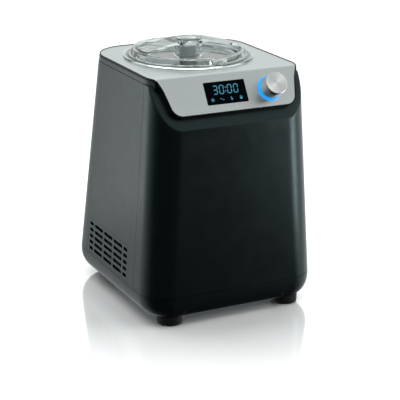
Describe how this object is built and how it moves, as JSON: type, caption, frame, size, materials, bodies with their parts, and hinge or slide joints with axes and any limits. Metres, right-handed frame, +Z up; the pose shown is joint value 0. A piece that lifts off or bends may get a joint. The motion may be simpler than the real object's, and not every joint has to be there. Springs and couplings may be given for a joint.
{
  "type": "ice cream maker",
  "caption": "Compressor ice cream maker: tapered box body, slanted steel control panel with display and push-turn knob, lift-out bowl and paddle under a clear lid with a bridge handle.",
  "frame": {"origin": "centre of the footprint, at the height of the feet's undersides", "axes": "+Z up, +Y to the back, +X to the right seen from the front; the control panel faces -Y"},
  "size_m": [0.2558, 0.287, 0.355],
  "materials": {
    "body_dark": "satin moulded plastic with a fine grain",
    "front_black": "satin black moulded plastic",
    "carrier_black": "black moulded plastic",
    "cover_steel": "stainless steel brushed from side to side",
    "display_lens": "polished black lens with cyan segments",
    "circuit_board": "green circuit board",
    "ring_light": "clear ring lit blue from below",
    "knob_metal": "turned face with radial highlights",
    "inner_plastic": "black moulded plastic",
    "machined_steel": "machined steel",
    "lid_clear": "clear moulded plastic",
    "seal_rubber": "soft black rubber",
    "foot_rubber": "firm dark rubber",
    "bowl_aluminium": "anodised drawn aluminium",
    "well_aluminium": "plain drawn aluminium",
    "paddle_plastic": "dark moulded plastic",
    "pipe_copper": "drawn copper tube",
    "foam": "rigid foamed insulation",
    "deck_steel": "zinc-plated sheet",
    "gear_nylon": "natural nylon",
    "bush_bronze": "sintered bronze",
    "gearbox_plastic": "glass-filled plastic",
    "screw_steel": "zinc-plated steel",
    "motor_paint": "grey painted steel can",
    "compressor_paint": "black painted steel pot",
    "pump_iron": "machined casting",
    "fin_aluminium": "thin aluminium fins"
  },
  "bodies": {
    "housing": {"base_pan": "body_dark", "front_shell": "front_black", "rear_shell": "body_dark", "feet": "foot_rubber", "foot_screws": "screw_steel", "pan_screws": "screw_steel", "top_frame": "body_dark", "cover_carrier": "carrier_black", "top_cover": "cover_steel", "display_window": "display_lens", "display_board": "circuit_board", "light_ring": "ring_light", "encoder_body": "inner_plastic", "cooling_well": "well_aluminium", "evaporator_coil": "pipe_copper", "foam_jacket": "foam", "chassis_deck": "deck_steel", "deck_posts": "deck_steel", "shaft_bush": "bush_bronze", "gearbox_housing": "gearbox_plastic", "gearbox_cover": "gearbox_plastic", "gearbox_screws": "screw_steel", "drive_motor": "motor_paint", "compressor_shell": "compressor_paint", "compressor_pump": "pump_iron", "compressor_mounts": "seal_rubber", "compressor_bolts": "screw_steel", "condenser": "fin_aluminium", "fan_frame": "inner_plastic", "discharge_pipe": "pipe_copper", "liquid_pipe": "pipe_copper", "filter_drier": "pipe_copper", "capillary_tube": "pipe_copper", "suction_pipe": "pipe_copper", "power_board": "circuit_board", "cord_gland": "inner_plastic", "vent_grille_left": "body_dark", "vent_grille_right": "body_dark"},
    "bowl": {"bowl": "bowl_aluminium", "bowl_tube": "bowl_aluminium"},
    "paddle": {"paddle": "paddle_plastic"},
    "lid_seal": {"lid_gasket": "seal_rubber"},
    "lid": {"lid": "lid_clear", "lid_handle": "lid_clear"},
    "drive": {"drive_shaft": "machined_steel", "output_gear": "gear_nylon"},
    "pinion": {"motor_pinion": "machined_steel"},
    "fan": {"fan_rotor": "inner_plastic"},
    "plunger": {"encoder_plunger": "inner_plastic"},
    "knob": {"knob_cap": "knob_metal", "knob_core": "inner_plastic", "encoder_shaft": "machined_steel"}
  },
  "joints": [
    {"name": "bowl_lift", "type": "slide", "parent": "housing", "child": "bowl", "axis": [0, 0, 1], "range_m": [0, 0.15]},
    {"name": "paddle_spin", "type": "hinge", "parent": "bowl", "child": "paddle", "pos_m": [0, 0.0115, 0.2], "axis": [0, 0, 1], "continuous": true},
    {"name": "lid_lift", "type": "slide", "parent": "bowl", "child": "lid_seal", "axis": [0, 0, 1], "range_m": [0, 0.08]},
    {"name": "lid_turn", "type": "hinge", "parent": "lid_seal", "child": "lid", "pos_m": [0, 0.0115, 0.33], "axis": [0, 0, 1], "range_deg": [0, 30]},
    {"name": "shaft_spin", "type": "hinge", "parent": "housing", "child": "drive", "pos_m": [0, 0.0115, 0.15], "axis": [0, 0, 1], "continuous": true},
    {"name": "motor_spin", "type": "hinge", "parent": "housing", "child": "pinion", "pos_m": [0, -0.0445, 0.15], "axis": [0, 0, 1], "continuous": true},
    {"name": "fan_spin", "type": "hinge", "parent": "housing", "child": "fan", "pos_m": [-0.088, 0.004, 0.063], "axis": [1, 0, 0], "continuous": true},
    {"name": "knob_press", "type": "slide", "parent": "housing", "child": "plunger", "axis": [0, 0.848, -0.5299], "range_m": [0, 0.0008], "stiffness_N_per_m": 800},
    {"name": "knob_turn", "type": "hinge", "parent": "plunger", "child": "knob", "pos_m": [0.055, -0.11817, 0.30668], "axis": [0, -0.848, 0.5299], "continuous": true}
  ],
  "couplings": [
    {"joint": "motor_spin", "follows": "shaft_spin", "ratio": -3.6667},
    {"joint": "paddle_spin", "follows": "shaft_spin", "ratio": 1}
  ]
}
